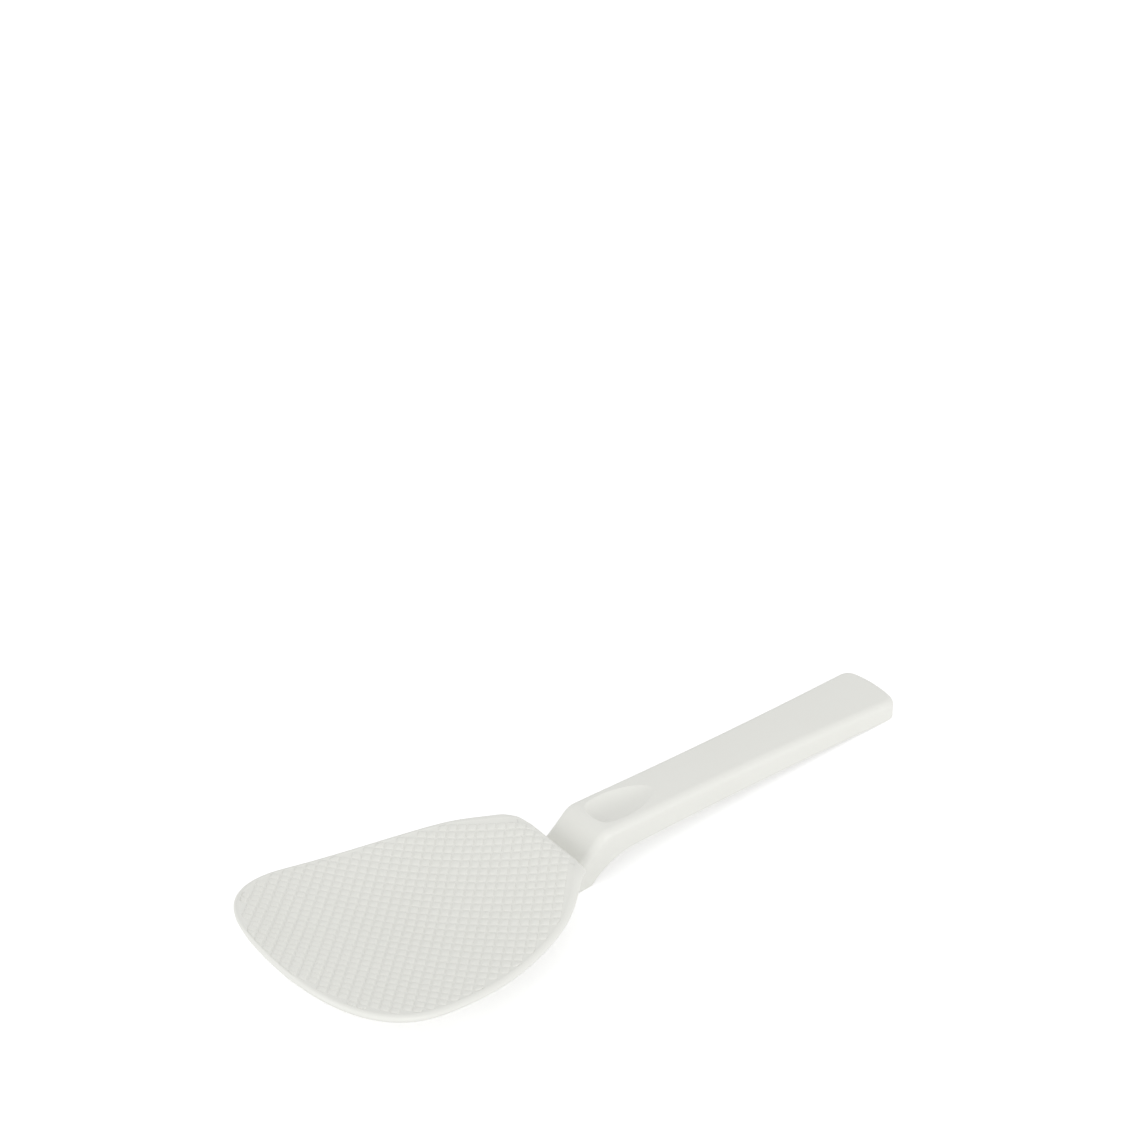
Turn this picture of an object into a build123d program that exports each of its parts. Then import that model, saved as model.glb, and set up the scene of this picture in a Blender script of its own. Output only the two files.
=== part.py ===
from build123d import *
import os
from math import sqrt

# Rice paddle. A dished blade with a rounded rim is seated on the neck of a solid handle.
# Millimetres. +X runs from the blade to the handle's end, +Z is up, and Z = 0 is the table.
# The origin lies on the table, under the middle of the paddle's length and width.
# The paddle rests on the foot under its neck and on the heel of its handle, so that the
# blade is held clear of the table.

# Whole paddle
overall_length = 218.8

# Blade: its outline
blade_length = 92.8
blade_width = 72.5
rear_corner_round = 3.0

# Blade: its wall and rim
blade_wall = 2.4
rim_round = 0.9

# Blade: its bowl. The top surface is lowest at the belly and rises to the front and the rear.
# Just before the rear edge it rolls down. Its places along the blade are shares of the length.
belly_height = 12.1
belly_share = 0.64
tip_rise = 17.8
rear_rise = 4.8
rear_roll_drop = 3.2
rear_roll_reach = 6.1
dish_depth = 1.7
dish_share = 0.54
dish_reach_share = 0.485

# Neck: the seat under the blade, the ramp behind the blade's rear edge, and the foot
neck_width = 18.0
seat_reach = 17.0
seat_inset = 1.3
ramp_gap = 0.6
pocket_depth = 6.5
ramp_length = 10.8
ramp_sag = 0.5
crest_round = 6.0
crest_height = 15.7
foot_setback = 5.6
foot_land = 4.0
foot_round = 1.0

# Handle: its plan
heel_width = 22.1
heel_bulge = 1.4
heel_corner_round = 4.5
flare_sag = 0.75

# Handle: its side view
heel_height = 6.4
heel_land = 5.0
neck_under_height = 6.1
neck_under_reach = 10.2

# Handle: its rounded top
crown_height = 0.4
top_edge_round = 2.4

# Thumb scoop in the handle's top
scoop_length = 23.0
scoop_width = 12.6
scoop_depth = 2.2
scoop_deepest = 5.5
scoop_setback = 1.6

# Reach of a cutting or trimming solid past what it trims
overrun = 5.0

# Stations where the blade's sheet has a section: along its bowl, as shares of the way from the
# front edge to the rear roll, and along the roll, as shares of its reach
bowl_shares = (-0.03, 0.12, 0.27, 0.42, 0.57, 0.72, 0.87)
roll_shares = (0.05, 0.35, 0.65, 0.95, 1.15)

# Half of the blade's outline, from the middle of the front edge to the rear corner:
# shares of the blade's length from the front edge, and of its half width
outline_shares = (
    (0.0, 0.0),
    (0.026, 0.504),
    (0.099, 0.810),
    (0.223, 0.980),
    (0.345, 0.998),
    (0.556, 0.948),
    (0.713, 0.853),
    (0.840, 0.715),
    (0.950, 0.495),
    (1.0, 0.393),
)

# What counts as upward: the upright share of a face's normal, and what counts as the side of
# the handle's top: a share of the neck's half width
upward_share = 0.5
side_share = 0.7

# Places along X
blade_front = -overall_length / 2
blade_rear = blade_front + blade_length
heel_end = overall_length / 2
belly_x = blade_front + belly_share * blade_length
roll_x = blade_rear - rear_roll_reach
dish_x = blade_front + dish_share * blade_length
dish_reach = dish_reach_share * blade_length
seat_rear = blade_rear - seat_inset
seat_front = seat_rear - seat_reach
ramp_root = blade_rear + ramp_gap
crest_x = ramp_root + ramp_length
foot_rear = blade_rear + foot_setback
foot_front = foot_rear - foot_land
neck_under_x = crest_x + neck_under_reach


def top_height(x):
    """Height of the blade's top surface on its centre line."""
    front = max(belly_x - x, 0) / (belly_x - blade_front)
    rear = max(x - belly_x, 0) / (blade_rear - belly_x)
    roll = max(x - roll_x, 0) / rear_roll_reach
    return belly_height + tip_rise * front**2 + rear_rise * rear**2 - rear_roll_drop * roll**2


def wall_drop(x):
    """Height of the blade's wall where it slopes, measured straight down."""
    step = rim_round / 2
    slope = (top_height(x + step) - top_height(x - step)) / rim_round
    return blade_wall * sqrt(1 + slope**2)


def dish_rise(x):
    """Rise of the blade's top surface from its centre line to the side of the sheet."""
    return dish_depth * (1 - ((x - dish_x) / dish_reach) ** 2) * (sheet_half_width / half_width) ** 2


def section(x):
    """Closed cross-section of the blade's sheet at x: two shallow parabolas and two sides."""
    side = sheet_half_width
    top = top_height(x)
    low = top - wall_drop(x)
    rise = dish_rise(x)
    with BuildSketch(Plane(origin=(x, 0, 0), x_dir=(0, 1, 0), z_dir=(1, 0, 0))) as sheet:
        with BuildLine():
            Bezier((-side, top + rise), (0, top - rise), (side, top + rise))
            Line((side, top + rise), (side, low + rise))
            Bezier((side, low + rise), (0, low - rise), (-side, low + rise))
            Line((-side, low + rise), (-side, top + rise))
        make_face()
    return sheet.sketch


def corner_at(face, x, z):
    """Corner of a face drawn in the side view that lies nearest to x, z."""
    return face.vertices().sort_by_distance((x, z, 0))[0]


# Blade: a sheet lofted through its sections, trimmed to the outline, with a rounded rim. The
# sheet is wider than the outline, so that the outline alone makes the blade's side.
half_width = blade_width / 2
sheet_half_width = half_width + blade_wall
outline_points = [
    (blade_front + along * blade_length, across * half_width) for along, across in outline_shares
]
rear_run = Vector(*outline_points[-1]) - Vector(*outline_points[-2])
stations = [blade_front + share * (roll_x - blade_front) for share in bowl_shares]
stations += [roll_x + share * rear_roll_reach for share in roll_shares]

with BuildPart() as blade:
    for station in stations:
        add(section(station))
    loft()
    with BuildSketch(Plane.XY):
        with BuildLine():
            Spline(*outline_points, tangents=((0, 1), rear_run), tangent_scalars=(1, 1))
            Line(outline_points[-1], (blade_rear, 0))
            mirror(about=Plane.XZ)
        outline = make_face()
        rear_corners = outline.vertices().group_by(Axis.X)[-1].filter_by(lambda corner: corner.Y != 0)
        fillet(rear_corners, radius=rear_corner_round)
    extrude(amount=belly_height + 2 * tip_rise, mode=Mode.INTERSECT)
    broad_faces = blade.faces().sort_by(SortBy.AREA)[-2:]
    fillet(broad_faces.edges(), radius=rim_round)
blade.part.label = "blade"

# Handle: side view and plan crossed, then the crown, the rounded edges and the scoop
half_neck = neck_width / 2
ramp_root_height = top_height(blade_rear) - pocket_depth
half_heel = heel_width / 2
heel_side_x = heel_end - heel_bulge
flare_x = (neck_under_x + heel_side_x) / 2
half_flare = (half_neck + half_heel) / 2 - flare_sag
crown_radius = half_heel**2 / (2 * crown_height)
ramp_middle = (ramp_root + ramp_length / 2, (ramp_root_height + crest_height) / 2 - ramp_sag)
scoop_axis_height = (scoop_width / 2) ** 2 / (2 * scoop_depth) - scoop_depth / 2
top_run = Vector(heel_end - crest_x, 0, heel_height - crest_height)
top_normal = top_run.cross(Vector(0, 1, 0)).normalized()
scoop_start = Vector(crest_x + scoop_setback, 0, crest_height)
scoop_axis_start = scoop_start + top_normal * scoop_axis_height
under_run = heel_end - heel_land - neck_under_x

with BuildPart() as handle:
    with BuildSketch(Plane.XZ) as side_view:
        with BuildLine():
            Polyline(
                (foot_rear, 0),
                (foot_front, 0),
                (seat_front, top_height(seat_front) - blade_wall / 2),
                (roll_x, top_height(roll_x) - blade_wall / 2),
                (seat_rear, top_height(seat_rear) - blade_wall / 2),
                (ramp_root, ramp_root_height),
            )
            ThreePointArc((ramp_root, ramp_root_height), ramp_middle, (crest_x, crest_height))
            Polyline(
                (crest_x, crest_height),
                (heel_end, heel_height),
                (heel_end, 0),
                (heel_end - heel_land, 0),
                (neck_under_x, neck_under_height),
            )
            TangentArc(
                (neck_under_x, neck_under_height),
                (foot_rear, 0),
                tangent=(-under_run, neck_under_height),
            )
        make_face()
        fillet(corner_at(side_view, foot_front, 0), radius=foot_round)
        fillet(corner_at(side_view, foot_rear, 0), radius=foot_round)
    extrude(amount=heel_width, both=True)
    with BuildSketch(Plane.XY):
        with BuildLine():
            ThreePointArc((neck_under_x, -half_neck), (flare_x, -half_flare), (heel_side_x, -half_heel))
            ThreePointArc((heel_side_x, -half_heel), (heel_end, 0), (heel_side_x, half_heel))
            ThreePointArc((heel_side_x, half_heel), (flare_x, half_flare), (neck_under_x, half_neck))
            Polyline(
                (neck_under_x, half_neck),
                (seat_front - overrun, half_neck),
                (seat_front - overrun, -half_neck),
                (neck_under_x, -half_neck),
            )
        plan = make_face()
        fillet(plan.vertices().group_by(Axis.X)[-1], radius=heel_corner_round)
    extrude(amount=2 * crest_height, mode=Mode.INTERSECT)
    with BuildSketch(Plane(origin=(crest_x, 0, crest_height), x_dir=(0, 1, 0), z_dir=top_run)):
        with Locations((0, -crown_radius)):
            Circle(crown_radius)
    extrude(amount=overall_length, both=True, mode=Mode.INTERSECT)
    fillet(handle.edges().sort_by_distance((crest_x, 0, crest_height))[0], radius=crest_round)
    top_faces = handle.faces().filter_by(
        lambda face: face.center().X > ramp_root and face.normal_at().Z > upward_share
    )
    side_edges = top_faces.edges().filter_by(lambda edge: abs(edge.center().Y) > half_neck * side_share)
    fillet(side_edges, radius=top_edge_round)
    with BuildSketch(Plane(origin=scoop_start, x_dir=top_run, z_dir=(0, -1, 0))):
        with BuildLine():
            Spline(
                (0, 0),
                (scoop_deepest, -scoop_depth),
                (scoop_length, 0),
                tangents=((scoop_depth, -2 * scoop_depth), (scoop_length - scoop_deepest, 2 * scoop_depth)),
            )
            Polyline((scoop_length, 0), (scoop_length, scoop_axis_height), (0, scoop_axis_height), (0, 0))
        make_face()
    revolve(axis=Axis(scoop_axis_start, top_run), mode=Mode.SUBTRACT)
    add(blade.part, mode=Mode.SUBTRACT)
handle.part.label = "handle"

os.makedirs("parts", exist_ok=True)
export_step(blade.part, "parts/blade.step")
export_step(handle.part, "parts/handle.step")
print("blade volume", round(blade.part.volume), "handle volume", round(handle.part.volume))
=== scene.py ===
"""Rice paddle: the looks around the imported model.

A broad dished blade with raised square dimples on both faces and a smooth rounded rim is
seated on a flared handle with a thumb scoop. Everything is in metres, in the model's frame:
+X runs from the blade to the handle's end, +Z is up, and Z = 0 is the table.
"""

import logging
import math
from dataclasses import dataclass, field
from enum import Enum
from typing import Callable, Sequence, Union

import bmesh
import bpy
import numpy as np
from mathutils import Matrix, Vector


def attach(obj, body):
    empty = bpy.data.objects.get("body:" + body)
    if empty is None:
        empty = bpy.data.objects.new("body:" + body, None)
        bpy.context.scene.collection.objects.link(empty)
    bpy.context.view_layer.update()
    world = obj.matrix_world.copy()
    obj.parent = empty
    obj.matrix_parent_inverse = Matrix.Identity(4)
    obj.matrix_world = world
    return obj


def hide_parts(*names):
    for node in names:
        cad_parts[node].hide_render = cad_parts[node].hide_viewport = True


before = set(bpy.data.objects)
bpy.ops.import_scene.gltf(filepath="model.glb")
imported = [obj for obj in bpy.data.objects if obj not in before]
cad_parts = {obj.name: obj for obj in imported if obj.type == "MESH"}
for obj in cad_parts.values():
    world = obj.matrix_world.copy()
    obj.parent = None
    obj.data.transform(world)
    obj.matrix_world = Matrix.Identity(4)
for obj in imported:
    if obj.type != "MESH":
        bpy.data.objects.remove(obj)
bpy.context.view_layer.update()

LOG = logging.getLogger("rice_paddle")

MM = 0.001
BODY = "root"

# The Mix node's sockets for colours, whose names are those of its sockets for numbers too
MIX_FIRST = 6
MIX_SECOND = 7
MIX_RESULT = 2

Colour = tuple[float, float, float]
Number = Union[float, "Term"]


class Face(Enum):
    """The two broad faces of the blade."""

    TOP = "top"
    UNDERSIDE = "underside"


# Node trees as expressions


class Term:
    """A socket of a node tree, on which sums and products add Math nodes."""

    def __init__(self, graph: "Graph", socket: bpy.types.NodeSocket) -> None:
        """Wraps a socket.

        Args:
            graph: The tree that the socket belongs to.
            socket: An output socket.
        """
        self.graph = graph
        self.socket = socket

    def _with(self, operation: str, first: Number, second: Number) -> "Term":
        """Adds a Math node on two values."""
        return self.graph.math(operation, first, second)

    def __add__(self, other: Number) -> "Term":
        """Sum."""
        return self._with("ADD", self, other)

    def __radd__(self, other: Number) -> "Term":
        """Sum with the number first."""
        return self._with("ADD", other, self)

    def __sub__(self, other: Number) -> "Term":
        """Difference."""
        return self._with("SUBTRACT", self, other)

    def __rsub__(self, other: Number) -> "Term":
        """Difference with the number first."""
        return self._with("SUBTRACT", other, self)

    def __mul__(self, other: Number) -> "Term":
        """Product."""
        return self._with("MULTIPLY", self, other)

    def __rmul__(self, other: Number) -> "Term":
        """Product with the number first."""
        return self._with("MULTIPLY", other, self)

    def __truediv__(self, other: Number) -> "Term":
        """Quotient."""
        return self._with("DIVIDE", self, other)

    def __rtruediv__(self, other: Number) -> "Term":
        """Quotient with the number first."""
        return self._with("DIVIDE", other, self)

    def __pow__(self, other: Number) -> "Term":
        """Power."""
        return self._with("POWER", self, other)

    def __gt__(self, other: Number) -> "Term":
        """One where it is greater, zero elsewhere."""
        return self._with("GREATER_THAN", self, other)

    def __lt__(self, other: Number) -> "Term":
        """One where it is less, zero elsewhere."""
        return self._with("LESS_THAN", self, other)

    def __abs__(self) -> "Term":
        """Size without its sign."""
        return self.graph.math("ABSOLUTE", self)


class Graph:
    """A node tree that is filled by method calls and expressions."""

    def __init__(self, tree: bpy.types.NodeTree) -> None:
        """Wraps an empty tree."""
        self.tree = tree

    def node(
        self,
        kind: str,
        settings: dict[str, object] | None = None,
        inputs: dict[str | int, object] | None = None,
    ) -> bpy.types.Node:
        """Adds a node.

        Args:
            kind: The node's type name.
            settings: Properties of the node, set before its sockets.
            inputs: Values or links of its input sockets, by name or by number.

        Returns:
            The new node.
        """
        made = self.tree.nodes.new(kind)
        for name, value in (settings or {}).items():
            setattr(made, name, value)
        for name, value in (inputs or {}).items():
            socket = made.inputs[name]
            if isinstance(value, Term):
                self.tree.links.new(value.socket, socket)
            elif isinstance(value, bpy.types.NodeSocket):
                self.tree.links.new(value, socket)
            else:
                socket.default_value = value
        return made

    def term(self, node: bpy.types.Node, output: str | int = 0) -> Term:
        """Wraps an output of a node, so that expressions take it."""
        return Term(self, node.outputs[output])

    def math(self, operation: str, *values: Number) -> Term:
        """Adds a Math node with that operation on the values."""
        inputs = dict(enumerate(values))
        return self.term(self.node("ShaderNodeMath", {"operation": operation}, inputs))

    def above_zero(self, value: Number) -> Term:
        """The value where it is above zero, and zero elsewhere."""
        return self.math("MAXIMUM", value, 0.0)

    def vector(self, x: Number, y: Number, z: Number) -> Term:
        """Adds a Combine XYZ node."""
        return self.term(self.node("ShaderNodeCombineXYZ", inputs={0: x, 1: y, 2: z}))

    def parts(self, vector: Term | bpy.types.NodeSocket) -> tuple[Term, Term, Term]:
        """Adds a Separate XYZ node and returns its three numbers."""
        split = self.node("ShaderNodeSeparateXYZ", inputs={0: vector})
        return self.term(split, 0), self.term(split, 1), self.term(split, 2)


# Finishes


@dataclass(frozen=True)
class SatinPlastic:
    """Warm white moulded plastic with a satin skin.

    The colour drifts a little where the melt flowed, and the skin has a fine grain that
    breaks up its gloss.
    """

    name: str
    colour: Colour = (0.836, 0.838, 0.797)
    shade: Colour = (0.810, 0.811, 0.766)
    roughness: float = 0.42
    roughness_spread: float = 0.10
    refraction: float = 1.49
    # Each pattern's features per metre, its finer layers, and its height where it has one
    flow_scale: float = 38.0
    flow_detail: float = 3.0
    grain_scale: float = 2600.0
    grain_detail: float = 2.0
    grain_height: float = 0.012 * MM
    ripple_scale: float = 170.0
    ripple_detail: float = 2.0
    ripple_height: float = 0.030 * MM

    def material(self) -> bpy.types.Material:
        """Builds the material.

        Returns:
            A material that reads Object coordinates.
        """
        made = bpy.data.materials.new(self.name)
        made.use_nodes = True
        made.node_tree.nodes.clear()
        graph = Graph(made.node_tree)
        place = graph.node("ShaderNodeTexCoord").outputs["Object"]
        flow = self._noise(graph, place, self.flow_scale, self.flow_detail)
        grain = self._noise(graph, place, self.grain_scale, self.grain_detail)
        ripple = self._noise(graph, place, self.ripple_scale, self.ripple_detail)
        tint = graph.node(
            "ShaderNodeMix",
            {"data_type": "RGBA"},
            {0: flow, MIX_FIRST: (*self.colour, 1.0), MIX_SECOND: (*self.shade, 1.0)},
        )
        unevenness = (grain - 0.5) + (flow - 0.5)
        roughness = self.roughness + unevenness * self.roughness_spread
        height = grain * self.grain_height + ripple * self.ripple_height
        bump = graph.node("ShaderNodeBump", inputs={"Distance": 1.0, "Height": height})
        surface = graph.node(
            "ShaderNodeBsdfPrincipled",
            inputs={
                "Base Color": tint.outputs[MIX_RESULT],
                "Roughness": roughness,
                "IOR": self.refraction,
                "Normal": bump.outputs["Normal"],
            },
        )
        graph.node("ShaderNodeOutputMaterial", inputs={"Surface": surface.outputs[0]})
        return made

    @staticmethod
    def _noise(graph: Graph, place: bpy.types.NodeSocket, scale: float, detail: float) -> Term:
        """Adds a Noise Texture.

        Args:
            graph: The material's tree.
            place: The coordinates that it reads.
            scale: Its features per metre.
            detail: How many finer layers it has.

        Returns:
            Its strength, from zero to one.
        """
        noise = graph.node(
            "ShaderNodeTexNoise",
            inputs={"Vector": place, "Scale": scale, "Detail": detail},
        )
        return graph.term(noise)


@dataclass(frozen=True)
class PaperFloor:
    """White paper that looks white to the camera and keeps a soft shadow.

    Its lift is light of its own, given off only towards rays that show it.
    """

    name: str = "white_paper"
    colour: Colour = (0.86, 0.86, 0.86)
    lift: float = 0.43

    def material(self) -> bpy.types.Material:
        """Builds the material.

        Returns:
            A matt white that is lifted for rays that show it.
        """
        made = bpy.data.materials.new(self.name)
        made.use_nodes = True
        made.node_tree.nodes.clear()
        graph = Graph(made.node_tree)
        paper = graph.node("ShaderNodeBsdfDiffuse", inputs={"Color": (*self.colour, 1.0)})
        glow = graph.node("ShaderNodeEmission", inputs={"Strength": seen(graph) * self.lift})
        both = graph.node("ShaderNodeAddShader", inputs={0: paper.outputs[0], 1: glow.outputs[0]})
        graph.node("ShaderNodeOutputMaterial", inputs={"Surface": both.outputs[0]})
        return made


def seen(graph: Graph) -> Term:
    """Tells the rays that show a backdrop from those that only light the scene.

    Args:
        graph: The tree that needs to know.

    Returns:
        One for rays from the camera, in gloss and through glass, and zero for the others.
    """
    rays = graph.node("ShaderNodeLightPath")
    shown = graph.term(rays, "Is Camera Ray") + graph.term(rays, "Is Glossy Ray")
    shown = shown + graph.term(rays, "Is Transmission Ray")
    return graph.math("MINIMUM", shown, 1.0)


# Meshes


def mesh_object(
    name: str,
    points: Sequence[Sequence[float]],
    faces: Sequence[Sequence[int]],
    merge: float = 0.0,
) -> bpy.types.Object:
    """Makes a smooth mesh object at the origin.

    Args:
        name: The object's name.
        points: Vertices, in metres.
        faces: Vertex numbers of each face, turning so that it faces outwards.
        merge: Vertices nearer than this are merged.

    Returns:
        The new object, linked to the scene.
    """
    mesh = bpy.data.meshes.new(name)
    mesh.from_pydata([tuple(point) for point in points], [], [tuple(face) for face in faces])
    if merge:
        work = bmesh.new()
        work.from_mesh(mesh)
        bmesh.ops.remove_doubles(work, verts=work.verts, dist=merge)
        bmesh.ops.dissolve_degenerate(work, edges=work.edges, dist=merge)
        work.to_mesh(mesh)
        work.free()
    mesh.shade_smooth()
    made = bpy.data.objects.new(name, mesh)
    bpy.context.scene.collection.objects.link(made)
    return made


def smooth_through(
    points: np.ndarray, first_run: np.ndarray, last_run: np.ndarray, steps: int
) -> np.ndarray:
    """Samples the smoothest cubic curve through some points.

    Args:
        points: Points that it passes, one per row.
        first_run: Direction in which it leaves the first point.
        last_run: Direction in which it reaches the last point.
        steps: Samples between one point and the next.

    Returns:
        The samples, one per row.
    """
    spans = np.linalg.norm(np.diff(points, axis=0), axis=1)
    count = len(points)
    system = np.zeros((count, count))
    right = np.zeros((count, points.shape[1]))
    system[0, 0] = system[-1, -1] = 1.0
    right[0] = first_run / np.linalg.norm(first_run)
    right[-1] = last_run / np.linalg.norm(last_run)
    for i in range(1, count - 1):
        before, after = spans[i - 1], spans[i]
        system[i, i - 1 : i + 2] = after, 2 * (before + after), before
        rise = (points[i] - points[i - 1]) * after / before
        fall = (points[i + 1] - points[i]) * before / after
        right[i] = 3 * (rise + fall)
    slopes = np.linalg.solve(system, right)
    samples = []
    for i, span in enumerate(spans):
        for share in np.arange(steps) / steps:
            near = (1 + 2 * share) * (1 - share) ** 2
            samples.append(
                near * points[i]
                + share * (1 - share) ** 2 * span * slopes[i]
                + (1 - near) * points[i + 1]
                - share**2 * (1 - share) * span * slopes[i + 1]
            )
    samples.append(points[-1])
    return np.array(samples)


# The blade


@dataclass(frozen=True)
class Bowl:
    """The curved sheet that the blade is made from, by the rule that the solid follows.

    The top surface is lowest at the belly, rises in two parabolas to the front and the rear,
    and rolls down just before the rear edge. It is dished a little across.
    """

    front: float = -109.4 * MM
    length: float = 92.8 * MM
    half_width: float = 36.25 * MM
    wall: float = 2.4 * MM
    belly_height: float = 12.1 * MM
    belly_share: float = 0.64
    tip_rise: float = 17.8 * MM
    rear_rise: float = 4.8 * MM
    roll_drop: float = 3.2 * MM
    roll_reach: float = 6.1 * MM
    dish_depth: float = 1.7 * MM
    dish_share: float = 0.54
    dish_reach_share: float = 0.485

    @property
    def rear(self) -> float:
        """Place of the rear edge along X."""
        return self.front + self.length

    @property
    def belly(self) -> float:
        """Place of the lowest line along X."""
        return self.front + self.belly_share * self.length

    def surface(
        self, x: Number, y: Number, above_zero: Callable[[Number], Number]
    ) -> tuple[Number, Number, Number, Number]:
        """Works out the top surface, on numbers or on the sockets of a node tree.

        Args:
            x: Place along the paddle.
            y: Place across it.
            above_zero: The value where it is above zero, and zero elsewhere.

        Returns:
            Height, slope along X on the centre line, and both slopes at the point.
        """
        ahead = self.belly - self.front
        behind = self.rear - self.belly
        front = above_zero(self.belly - x) * (1 / ahead)
        rear = above_zero(x - self.belly) * (1 / behind)
        roll = above_zero(x - (self.rear - self.roll_reach)) * (1 / self.roll_reach)
        along = (x - (self.front + self.dish_share * self.length)) * (
            1 / (self.dish_reach_share * self.length)
        )
        across = y * (1 / self.half_width)
        rise = (1 - along * along) * self.dish_depth
        height = (
            front * front * self.tip_rise
            + rear * rear * self.rear_rise
            - roll * roll * self.roll_drop
            + rise * across * across
            + self.belly_height
        )
        slope = (
            rear * (2 * self.rear_rise / behind)
            - front * (2 * self.tip_rise / ahead)
            - roll * (2 * self.roll_drop / self.roll_reach)
        )
        twist = along * (2 * self.dish_depth / (self.dish_reach_share * self.length))
        slope_along = slope - twist * across * across
        slope_across = rise * across * (2 / self.half_width)
        return height, slope, slope_along, slope_across

    def point(self, x: float, y: float, depth: float) -> tuple[float, float, float]:
        """Places a point in the sheet.

        Args:
            x: Place along the paddle.
            y: Place across it.
            depth: How deep it lies below the top surface, square to the bowl.

        Returns:
            The point.
        """
        height, slope, _, _ = self.surface(x, y, lambda value: max(value, 0.0))
        return x, y, height - depth * math.hypot(1, slope)


@dataclass(frozen=True)
class Outline:
    """The blade's outline in plan, by the shares that the solid uses."""

    bowl: Bowl
    # From the middle of the front edge to the rear corner: shares of length and half width
    shares: tuple[tuple[float, float], ...] = (
        (0.0, 0.0),
        (0.026, 0.504),
        (0.099, 0.810),
        (0.223, 0.980),
        (0.345, 0.998),
        (0.556, 0.948),
        (0.713, 0.853),
        (0.840, 0.715),
        (0.950, 0.495),
        (1.0, 0.393),
    )
    corner_round: float = 3.0 * MM
    # Samples of each stretch and of the corner, and the even spacing that they are brought to
    side_steps: int = 24
    corner_steps: int = 8
    spacing: float = 0.7 * MM
    # The rim's width by the rear corner and along the rear edge, as shares of its usual one,
    # and how far along the rear edge it goes from one to the other
    corner_width_share: float = 1.75
    rear_width_share: float = 0.40
    ear_reach: float = 5.0 * MM

    def loop(self) -> np.ndarray:
        """Samples the whole outline.

        Returns:
            Points in plan at an even spacing, turning from the front towards +Y.
        """
        bowl = self.bowl
        corners = np.array(
            [
                (bowl.front + along * bowl.length, across * bowl.half_width)
                for along, across in self.shares
            ]
        )
        last_run = corners[-1] - corners[-2]
        side = smooth_through(corners, np.array((0.0, 1.0)), last_run, self.side_steps)
        # The rear corner is cut off and bent round to the rear edge
        corner = corners[-1]
        turn = math.atan2(last_run[0], -last_run[1])
        reach = self.corner_round * math.tan(turn / 2)
        side = side[np.linalg.norm(side - corner, axis=1) > reach]
        start = corner - last_run / np.linalg.norm(last_run) * reach
        end = corner - np.array((0.0, reach))
        shares = np.linspace(0, 1, self.corner_steps + 1)[:, None]
        bend = (1 - shares) ** 2 * start + 2 * shares * (1 - shares) * corner + shares**2 * end
        half = np.vstack([side, bend, [(bowl.rear, 0.0)]])
        # The other half is its mirror image
        other = half[-2:0:-1] * (1, -1)
        closed = np.vstack([half, other, half[:1]])
        lengths = np.concatenate(
            [[0.0], np.cumsum(np.linalg.norm(np.diff(closed, axis=0), axis=1))]
        )
        count = 2 * round(lengths[-1] / self.spacing / 2)
        places = np.linspace(0, lengths[-1], count, endpoint=False)
        return np.stack(
            [np.interp(places, lengths, closed[:, axis]) for axis in (0, 1)], axis=1
        )

    def inset(self, loop: np.ndarray, distance: float) -> np.ndarray:
        """Moves an outline inwards, square to itself.

        Args:
            loop: Points of the outline.
            distance: How far along the sides. It grows towards the rear corners, and is less
                along the rear edge, where the dimples run almost to the lip.

        Returns:
            The moved points.
        """
        run = np.roll(loop, -1, axis=0) - np.roll(loop, 1, axis=0)
        inward = np.stack([run[:, 1], -run[:, 0]], axis=1)
        inward /= np.linalg.norm(inward, axis=1)[:, None]
        return loop + distance * self._width(loop)[:, None] * inward

    def _width(self, loop: np.ndarray) -> np.ndarray:
        """Works out how wide the rim is along the outline.

        Args:
            loop: Points of the outline.

        Returns:
            The rim's width at each of them, as a share of its usual width.
        """
        bowl = self.bowl
        back = np.clip((loop[:, 0] - bowl.belly) / (bowl.rear - bowl.belly), 0, 1)
        side = 1 + (self.corner_width_share - 1) * back**2
        ear = self.shares[-1][1] * bowl.half_width
        out = np.clip((np.abs(loop[:, 1]) - ear) / self.ear_reach + 1, 0, 1)
        out = out**2 * (3 - 2 * out)
        return self.rear_width_share + (side - self.rear_width_share) * out


@dataclass(frozen=True)
class Seat:
    """The plain land on the blade's underside that the handle is seated on."""

    front: float = -34.4 * MM
    rear: float = -17.6 * MM
    half_width: float = 9.9 * MM
    # How far past its front and its sides a dimple's middle stays away
    clear_front: float = 0.2 * MM
    clear_side: float = 0.3 * MM
    # How deep it is rooted in the sheet, and how far it stays off the handle's seat
    bury: float = 0.30 * MM
    handle_gap: float = 0.01 * MM
    # Points along and across it, and the turn in degrees past which an edge is sharp
    rows: int = 25
    columns: int = 13
    sharp_angle: float = 40.0

    def build(self, bowl: Bowl, floor_depth: float) -> bpy.types.Object:
        """Builds the land.

        Args:
            bowl: The sheet that it stands on.
            floor_depth: How deep the field of dimples is recessed into the sheet.

        Returns:
            One closed mesh, flush with the rim and buried in the sheet.
        """
        rows, columns = self.rows, self.columns
        along = np.linspace(self.front, self.rear, rows)
        across = np.linspace(-self.half_width, self.half_width, columns)
        levels = (bowl.wall - floor_depth - self.bury, bowl.wall - self.handle_gap)
        points = [bowl.point(x, y, depth) for depth in levels for x in along for y in across]
        layer = rows * columns
        faces = []
        for i in range(rows - 1):
            for j in range(columns - 1):
                here = i * columns + j
                there = here + columns
                faces.append((here, there, there + 1, here + 1))
                faces.append((layer + here + 1, layer + there + 1, layer + there, layer + here))
        ring = list(range(columns))
        ring += [i * columns + columns - 1 for i in range(1, rows)]
        ring += [(rows - 1) * columns + j for j in range(columns - 2, -1, -1)]
        ring += [i * columns for i in range(rows - 2, 0, -1)]
        for here, there in zip(ring, ring[1:] + ring[:1]):
            faces.append((here, there, layer + there, layer + here))
        made = mesh_object("blade_seat_land", points, faces)
        made.data.set_sharp_from_angle(angle=math.radians(self.sharp_angle))
        return made


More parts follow.
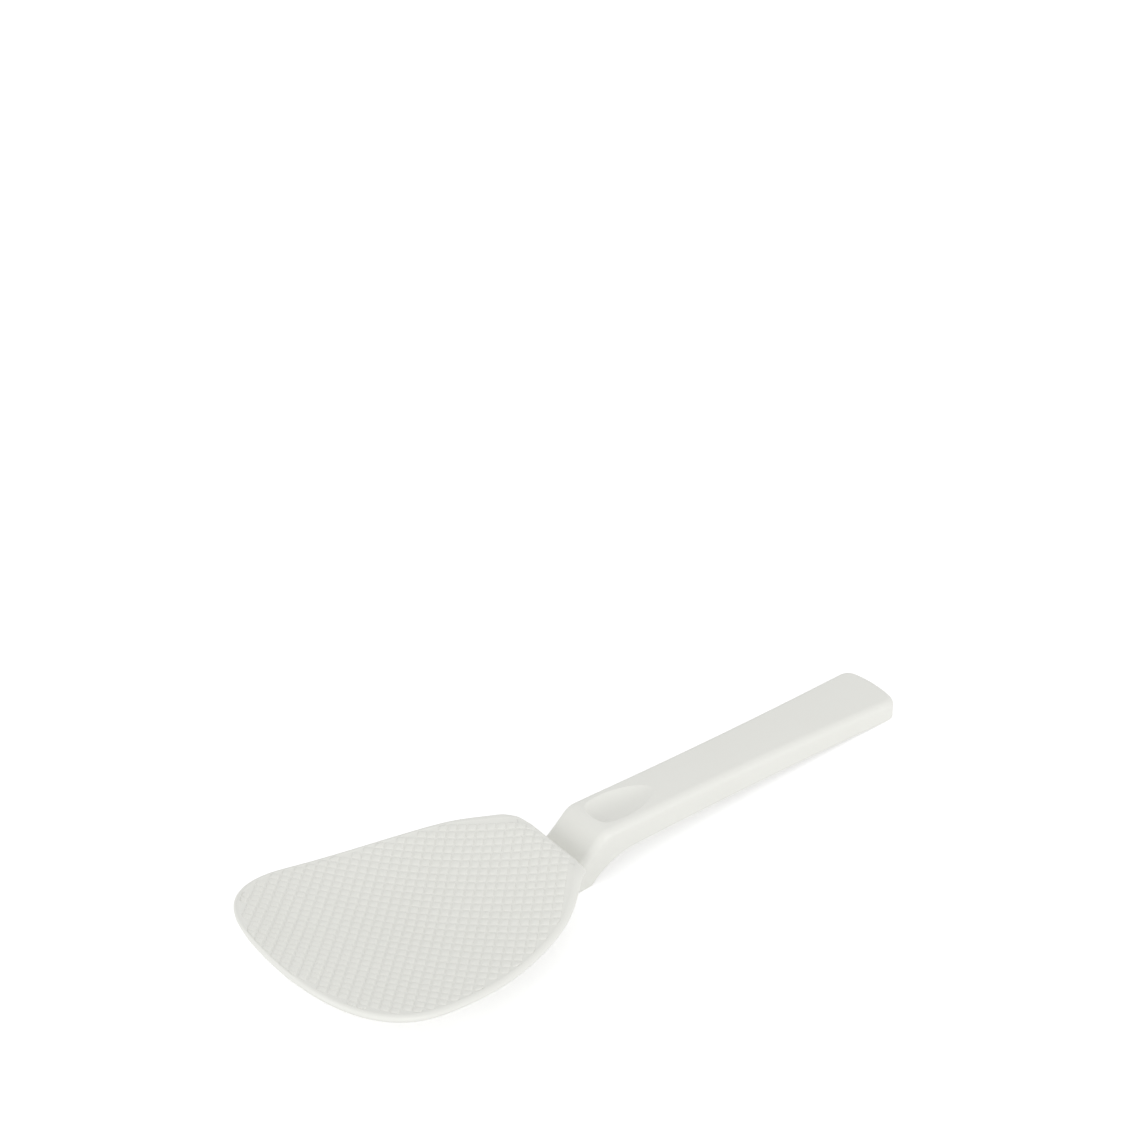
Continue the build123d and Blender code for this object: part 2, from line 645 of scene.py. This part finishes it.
@dataclass
class DimpleField:
    """Raised rounded squares in a square grid that runs at 45 degrees to the blade."""

    bowl: Bowl
    seat: Seat
    floor_depth: float
    # The grid's spacing and turn, and its rows past the blade's length
    pitch: float = 2.77 * MM
    turn: float = math.pi / 4
    spare_rows: int = 9
    # A dimple's gap to the next one, its height above the floor, and its root below that
    groove: float = 0.36 * MM
    height: float = 0.29 * MM
    sink: float = 0.05 * MM
    # Its form: a corner power of zero is square and one is round, the taper is how much
    # narrower the top is, and the last two bend the side and the crown
    corner_power: float = 0.30
    taper: float = 0.85
    shoulder_power: float = 2.0
    crown_power: float = 1.6
    # Its faces around and up its side
    sides: int = 12
    side_rows: int = 4
    # How near the border a dimple's middle may lie, and how far past it still counts as inside
    margin: float = 0.40 * MM
    slack: float = 0.05 * MM
    # How much longer a parabola is than its plan: shares of its slope's second and fourth
    # power, of which the second one also makes up for the terms after it
    arc_shares: tuple[float, float] = (1 / 6, 0.08)

    def tree(self) -> bpy.types.NodeTree:
        """Builds the node tree that turns a flat border into a field of dimples.

        Returns:
            The tree. Its input mesh is the field's border, flat and filled, in plan.
        """
        tree = bpy.data.node_groups.new("dimple_field", "GeometryNodeTree")
        graph = Graph(tree)
        self._declare(tree)
        given = graph.node("NodeGroupInput")
        border = given.outputs["Border"]
        underside = graph.term(given, "Underside")
        pitch = graph.term(given, "Pitch")
        place = graph.node("GeometryNodeInputPosition").outputs[0]

        count = 2 * round(self.bowl.length / self.pitch / 2) + self.spare_rows
        reach = pitch * (count - 1)
        grid = graph.node(
            "GeometryNodeMeshGrid",
            inputs={"Size X": reach, "Size Y": reach, "Vertices X": count, "Vertices Y": count},
        )
        turned = graph.node(
            "GeometryNodeTransform",
            inputs={
                "Geometry": grid.outputs["Mesh"],
                "Translation": (self.bowl.belly, 0.0, 0.0),
                "Rotation": (0.0, 0.0, self.turn),
            },
        )
        # A dimple is set in plan, then cut at the border, and then lifted onto the floor
        plan = self._plan_place(graph, place)
        kept = self._kept(graph, turned.outputs[0], border, plan, underside)
        copies = graph.node(
            "GeometryNodeInstanceOnPoints",
            inputs={
                "Points": kept,
                "Instance": self._dimple(graph, given),
                "Rotation": (0.0, 0.0, self.turn),
            },
        )
        real = graph.node("GeometryNodeRealizeInstances", inputs={0: copies.outputs[0]})
        flat = graph.node(
            "GeometryNodeSetPosition",
            inputs={"Geometry": real.outputs[0], "Position": plan},
        )
        trimmed = graph.node(
            "GeometryNodeSetPosition",
            inputs={
                "Geometry": flat.outputs[0],
                "Position": self._trimmed_place(graph, border, place),
            },
        )
        raised = graph.node(
            "GeometryNodeSetPosition",
            inputs={
                "Geometry": trimmed.outputs[0],
                "Position": self._raised_place(graph, place, underside),
            },
        )
        flipped = graph.node("GeometryNodeFlipFaces", inputs={0: raised.outputs[0]})
        facing = graph.node(
            "GeometryNodeSwitch",
            {"input_type": "GEOMETRY"},
            {"Switch": underside, "False": raised.outputs[0], "True": flipped.outputs[0]},
        )
        smooth = graph.node("GeometryNodeSetShadeSmooth", inputs={"Geometry": facing.outputs[0]})
        coated = graph.node(
            "GeometryNodeSetMaterial",
            inputs={"Geometry": smooth.outputs[0], "Material": given.outputs["Material"]},
        )
        graph.node("NodeGroupOutput", inputs={0: coated.outputs[0]})
        return tree

    def _declare(self, tree: bpy.types.NodeTree) -> None:
        """Gives the tree its named inputs and its output.

        Args:
            tree: The field's tree.
        """
        add = tree.interface.new_socket
        add("Border", in_out="INPUT", socket_type="NodeSocketGeometry")
        for name, value in self.sizes().items():
            socket = add(name, in_out="INPUT", socket_type="NodeSocketFloat")
            socket.default_value = value
        add("Underside", in_out="INPUT", socket_type="NodeSocketBool")
        add("Material", in_out="INPUT", socket_type="NodeSocketMaterial")
        add("Dimples", in_out="OUTPUT", socket_type="NodeSocketGeometry")

    def sizes(self) -> dict[str, float]:
        """Lists the sizes that the tree takes.

        Returns:
            Each size by the name of its input.
        """
        return {
            "Pitch": self.pitch,
            "Groove": self.groove,
            "Height": self.height,
            "Sink": self.sink,
            "Taper": self.taper,
        }

    def _dimple(self, graph: Graph, given: bpy.types.Node) -> Term:
        """Adds one dimple: a prism drawn out to a rounded square with a soft shoulder.

        Args:
            graph: The field's tree.
            given: The tree's inputs.

        Returns:
            The dimple's mesh, standing on zero and sunk a little below it.
        """
        prism = graph.node(
            "GeometryNodeMeshCylinder",
            {"fill_type": "NGON"},
            {
                "Vertices": self.sides,
                "Side Segments": self.side_rows,
                "Fill Segments": 1,
                "Radius": 1.0,
                "Depth": 1.0,
            },
        )
        start = graph.node(
            "GeometryNodeTransform",
            inputs={
                "Geometry": prism.outputs["Mesh"],
                "Rotation": (0.0, 0.0, math.pi / self.sides),
            },
        )
        x, y, z = graph.parts(graph.node("GeometryNodeInputPosition").outputs[0])
        level = z + 0.5
        half = (graph.term(given, "Pitch") - graph.term(given, "Groove")) * 0.5
        size = half * (1 - graph.term(given, "Taper") * level**self.shoulder_power)
        rest = graph.above_zero(1 - level) ** self.crown_power
        sink = graph.term(given, "Sink")
        tall = graph.term(given, "Height") + sink
        shaped = graph.node(
            "GeometryNodeSetPosition",
            inputs={
                "Geometry": start.outputs[0],
                "Position": graph.vector(
                    graph.math("SIGN", x) * abs(x) ** self.corner_power * size,
                    graph.math("SIGN", y) * abs(y) ** self.corner_power * size,
                    tall * (1 - rest) - sink,
                ),
            },
        )
        return graph.term(shaped)

    def _plan_place(self, graph: Graph, place: bpy.types.NodeSocket) -> Term:
        """Turns a place measured along the sheet into its place in plan.

        Args:
            graph: The field's tree.
            place: The place along the sheet.

        Returns:
            The place in plan.
        """
        run, y, z = graph.parts(place)
        ahead = self.bowl.belly - self.bowl.front
        steepness = 2 * self.bowl.tip_rise / ahead**2
        reach = graph.above_zero(self.bowl.belly - run)
        slope = reach * steepness
        square = slope * slope
        shortening = square * self.arc_shares[0] - square * square * self.arc_shares[1]
        return graph.vector(run + reach * shortening, y, z)

    def _kept(
        self,
        graph: Graph,
        points: bpy.types.NodeSocket,
        border: bpy.types.NodeSocket,
        plan: Term,
        underside: Term,
    ) -> bpy.types.NodeSocket:
        """Drops the grid points outside the border, and those over the handle's seat.

        Args:
            graph: The field's tree.
            points: The whole grid.
            border: The field's border, flat and filled.
            plan: Where a grid point lies in plan.
            underside: One on the underside, and zero on the top.

        Returns:
            The grid points that carry a dimple.
        """
        inside = self._nearest(graph, "FACES", border, plan)
        edge = self._nearest(graph, "EDGES", border, plan)
        outside = graph.term(inside, "Distance") > self.slack
        close = graph.term(edge, "Distance") < self.margin
        x, y, _ = graph.parts(plan)
        bare_front = self.seat.front - self.seat.clear_front
        bare_half_width = self.seat.half_width + self.seat.clear_side
        over_seat = underside * (x > bare_front) * (abs(y) < bare_half_width)
        dropped = graph.node(
            "GeometryNodeDeleteGeometry",
            {"domain": "POINT"},
            {"Geometry": points, "Selection": (outside + close + over_seat) > 0.5},
        )
        return dropped.outputs[0]

    def _trimmed_place(
        self, graph: Graph, border: bpy.types.NodeSocket, place: bpy.types.NodeSocket
    ) -> Term:
        """Draws what lies past the border back onto it, so that outer dimples are cut.

        Args:
            graph: The field's tree.
            border: The field's border, flat and filled.
            place: The place of a dimple's vertex in plan, with its height.

        Returns:
            The place within the border, with the same height.
        """
        x, y, z = graph.parts(place)
        near = self._nearest(graph, "FACES", border, graph.vector(x, y, 0.0))
        trimmed_x, trimmed_y, _ = graph.parts(near.outputs["Position"])
        return graph.vector(trimmed_x, trimmed_y, z)

    def _raised_place(
        self, graph: Graph, place: bpy.types.NodeSocket, underside: Term
    ) -> Term:
        """Lifts a place in plan onto the sheet's floor, and its height square to that.

        Args:
            graph: The field's tree.
            place: The place of a dimple's vertex in plan, with its height.
            underside: One on the underside, and zero on the top.

        Returns:
            The place in the model's frame.
        """
        x, y, height = graph.parts(place)
        top, slope, along, across = self.bowl.surface(x, y, graph.above_zero)
        drop = underside * (self.bowl.wall - 2 * self.floor_depth) + self.floor_depth
        stretch = graph.math("SQRT", slope * slope + 1)
        out = height * (1 - underside * 2)
        out = out / graph.math("SQRT", along * along + across * across + 1)
        return graph.vector(x - along * out, y - across * out, top - drop * stretch + out)

    @staticmethod
    def _nearest(
        graph: Graph, element: str, target: bpy.types.NodeSocket, source: Term
    ) -> bpy.types.Node:
        """Adds a Geometry Proximity node.

        Args:
            graph: The field's tree.
            element: What it measures to, FACES or EDGES.
            target: The mesh that it measures to.
            source: Where it measures from.

        Returns:
            The node, with its Position and Distance.
        """
        return graph.node(
            "GeometryNodeProximity",
            {"target_element": element},
            {0: target, "Sample Position": source},
        )

    def build(
        self,
        name: str,
        tree: bpy.types.NodeTree,
        border: np.ndarray,
        face: Face,
        material: bpy.types.Material,
    ) -> bpy.types.Object:
        """Makes the dimples of one face as a plain mesh.

        Args:
            name: The piece's name.
            tree: The tree that tree() made.
            border: The field's border in plan.
            face: Which face of the blade they stand on.
            material: Their finish.

        Returns:
            The piece.
        """
        flat = [(x, y, 0.0) for x, y in border]
        holder = mesh_object(name, flat, [range(len(flat))])
        modifier = holder.modifiers.new("dimples", "NODES")
        modifier.node_group = tree
        values = {**self.sizes(), "Underside": face is Face.UNDERSIDE, "Material": material}
        for item in tree.interface.items_tree:
            if item.name in values:
                modifier[item.identifier] = values[item.name]
        bpy.context.view_layer.update()
        graph = bpy.context.evaluated_depsgraph_get()
        made = bpy.data.meshes.new_from_object(holder.evaluated_get(graph))
        holder.modifiers.clear()
        holder.data = made
        made.name = name
        return holder


@dataclass
class Blade:
    """The dished blade: a sheet with a recessed field on each face inside a rounded rim."""

    bowl: Bowl = field(default_factory=Bowl)
    seat: Seat = field(default_factory=Seat)
    # The rim: its width, how much of that is rounded, and the faces of the round
    rim_land: float = 1.55 * MM
    rim_round: float = 1.50 * MM
    rim_steps: int = 8
    # The fall from the rim to the floor: its run, its depth, and points as shares of both
    groove_run: float = 0.20 * MM
    floor_depth: float = 0.09 * MM
    groove_shares: tuple[tuple[float, float], ...] = ((1.0, 1.0), (0.6, 0.82), (0.2, 0.30))
    # Gap between the rim and the field of dimples
    field_gap: float = 0.10 * MM
    # The floor's rows, and how far in from the blade's ends the line lies that they close on
    rings: int = 12
    spine_front_inset: float = 30.0 * MM
    spine_rear_inset: float = 10.0 * MM
    # Points of the sheet that lie nearer than this are merged
    merge: float = 0.002 * MM

    def profile(self) -> list[tuple[float, float]]:
        """The rim's section: distance in from the outline, and depth below the top surface.

        Returns:
            Points from the top field's floor, round the rim, to the underside's floor.
        """
        upper = [
            (self.rim_land + run * self.groove_run, fall * self.floor_depth)
            for run, fall in self.groove_shares
        ]
        half = self.bowl.wall / 2
        for angle in np.linspace(0.0, math.pi / 2, self.rim_steps + 1):
            upper.append((self.rim_round * (1 - math.sin(angle)), half * (1 - math.cos(angle))))
        lower = [(inset, self.bowl.wall - depth) for inset, depth in reversed(upper[:-1])]
        return upper + lower

    def shell(self, outline: Outline, loop: np.ndarray) -> bpy.types.Object:
        """Builds the sheet with its rim.

        Args:
            outline: The blade's outline.
            loop: Its samples.

        Returns:
            One closed mesh.
        """
        profile = self.profile()
        rows = [
            [self.bowl.point(x, y, depth) for x, y in outline.inset(loop, inset)]
            for inset, depth in profile
        ]
        first, last = profile[0], profile[-1]
        top = self._floor_rows(outline.inset(loop, first[0]), first[1])
        under = self._floor_rows(outline.inset(loop, last[0]), last[1])
        rows = top[::-1] + rows + under
        count = len(loop)
        points = [point for row in rows for point in row]
        faces = []
        for row in range(len(rows) - 1):
            for i in range(count):
                j = (i + 1) % count
                here, there = row * count, (row + 1) * count
                faces.append((here + i, there + i, there + j, here + j))
        return mesh_object("blade_sheet", points, faces, merge=self.merge)

    def _floor_rows(
        self, border: np.ndarray, depth: float
    ) -> list[list[tuple[float, float, float]]]:
        """Fills a face's floor from its border to the line down its middle.

        Args:
            border: Where the floor meets the groove, in plan.
            depth: How deep the floor lies below the top surface.

        Returns:
            Rows of points, the outermost first.
        """
        low = self.bowl.front + self.spine_front_inset
        high = self.bowl.rear - self.spine_rear_inset
        spine = np.stack([np.clip(border[:, 0], low, high), 0 * border[:, 1]], axis=1)
        rows = []
        for step in range(1, self.rings + 1):
            share = step / self.rings
            row = border * (1 - share) + spine * share
            rows.append([self.bowl.point(x, y, depth) for x, y in row])
        return rows

    def build(self, finish: SatinPlastic) -> list[bpy.types.Object]:
        """Builds and dresses every piece of the blade.

        Args:
            finish: The blade's plastic.

        Returns:
            The pieces.
        """
        material = finish.material()
        outline = Outline(self.bowl)
        loop = outline.loop()
        sheet = self.shell(outline, loop)
        land = self.seat.build(self.bowl, self.floor_depth)
        for piece in (sheet, land):
            piece.data.materials.append(material)
        dimples = DimpleField(self.bowl, self.seat, self.floor_depth)
        tree = dimples.tree()
        border = outline.inset(loop, self.rim_land + self.field_gap)
        pieces = [sheet, land]
        for face in Face:
            name = f"blade_dimples_{face.value}"
            pieces.append(dimples.build(name, tree, border, face, material))
        for piece in pieces:
            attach(piece, BODY)
        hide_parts("blade")
        return pieces


# The handle


@dataclass
class Handle:
    """The handle, whose solid has the right shape and gets its finish here."""

    node: str = "handle"

    def build(self, finish: SatinPlastic) -> list[bpy.types.Object]:
        """Dresses the handle.

        Args:
            finish: The handle's plastic.

        Returns:
            The pieces.
        """
        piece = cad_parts[self.node]
        material = finish.material()
        for slot in piece.material_slots:
            slot.material = material
        return [piece]


# The studio


@dataclass(frozen=True)
class SoftBox:
    """A square area lamp that faces a point."""

    name: str
    place: tuple[float, float, float]
    size: float
    power: float
    aim: tuple[float, float, float] = (0.0, 0.0, 0.015)

    def build(self) -> None:
        """Adds the lamp to the scene."""
        data = bpy.data.lights.new(self.name, "AREA")
        data.shape = "SQUARE"
        data.size = self.size
        data.energy = self.power
        lamp = bpy.data.objects.new(self.name, data)
        lamp.location = self.place
        aim = Vector(self.aim) - Vector(self.place)
        lamp.rotation_euler = aim.to_track_quat("-Z", "Y").to_euler()
        bpy.context.scene.collection.objects.link(lamp)


@dataclass
class Studio:
    """Floor, sky, lamps and the camera of the photograph."""

    # Half the floor's width, how far it lies below the table's plane, and the sky's light
    floor_half: float = 4.0
    floor_drop: float = 0.02 * MM
    sky: float = 0.795
    lamps: tuple[SoftBox, ...] = (
        SoftBox("near_box", place=(0.35, -1.5, 0.32), size=0.55, power=5.2),
        SoftBox("front_box", place=(-1.45, -0.2, 0.55), size=0.8, power=4.4),
    )
    # The camera's place, where its right and its top point, and its lens
    camera_place: Vector = field(default_factory=lambda: Vector((-298.0, -381.1, 421.06)) * MM)
    camera_right: Vector = field(default_factory=lambda: Vector((0.77992, -0.6245, -0.04017)))
    camera_up: Vector = field(default_factory=lambda: Vector((0.37215, 0.41123, 0.83211)))
    lens: float = 71.53
    sensor: float = 36.0
    clip_start: float = 10 * MM

    def build(self) -> None:
        """Adds the floor, the sky, the lamps and the camera."""
        self._floor()
        self._sky()
        for lamp in self.lamps:
            lamp.build()
        self._camera()
        bpy.context.scene.view_settings.view_transform = "Standard"

    def _floor(self) -> None:
        """Adds the floor, just under the table's plane so that it meets no flat foot."""
        half, low = self.floor_half, -self.floor_drop
        corners = [(-half, -half, low), (half, -half, low), (half, half, low), (-half, half, low)]
        floor = mesh_object("floor", corners, [(0, 1, 2, 3)])
        floor.data.materials.append(PaperFloor().material())

    def _sky(self) -> None:
        """Lights the scene evenly, and shows white behind it."""
        world = bpy.data.worlds.new("studio")
        bpy.context.scene.world = world
        world.use_nodes = True
        world.node_tree.nodes.clear()
        graph = Graph(world.node_tree)
        strength = seen(graph) * (1.0 - self.sky) + self.sky
        sky = graph.node(
            "ShaderNodeBackground",
            inputs={"Color": (1.0, 1.0, 1.0, 1.0), "Strength": strength},
        )
        graph.node("ShaderNodeOutputWorld", inputs={"Surface": sky.outputs[0]})

    def _camera(self) -> None:
        """Adds the camera where the photograph was taken from."""
        data = bpy.data.cameras.new("camera")
        data.lens = self.lens
        data.sensor_width = self.sensor
        data.clip_start = self.clip_start
        camera = bpy.data.objects.new("camera", data)
        right = self.camera_right.normalized()
        back = right.cross(self.camera_up).normalized()
        up = back.cross(right)
        turn = Matrix((right, up, back)).transposed().to_4x4()
        camera.matrix_world = Matrix.Translation(self.camera_place) @ turn
        bpy.context.scene.collection.objects.link(camera)
        bpy.context.scene.camera = camera


def main() -> None:
    """Builds the paddle and its studio."""
    logging.basicConfig(level=logging.INFO, format="%(name)s: %(message)s")
    pieces = Blade().build(SatinPlastic("blade_plastic"))
    pieces += Handle().build(SatinPlastic("handle_plastic"))
    for piece in pieces:
        LOG.info("%s: %d faces", piece.name, len(piece.data.polygons))
    Studio().build()


if __name__ == "__main__":
    main()
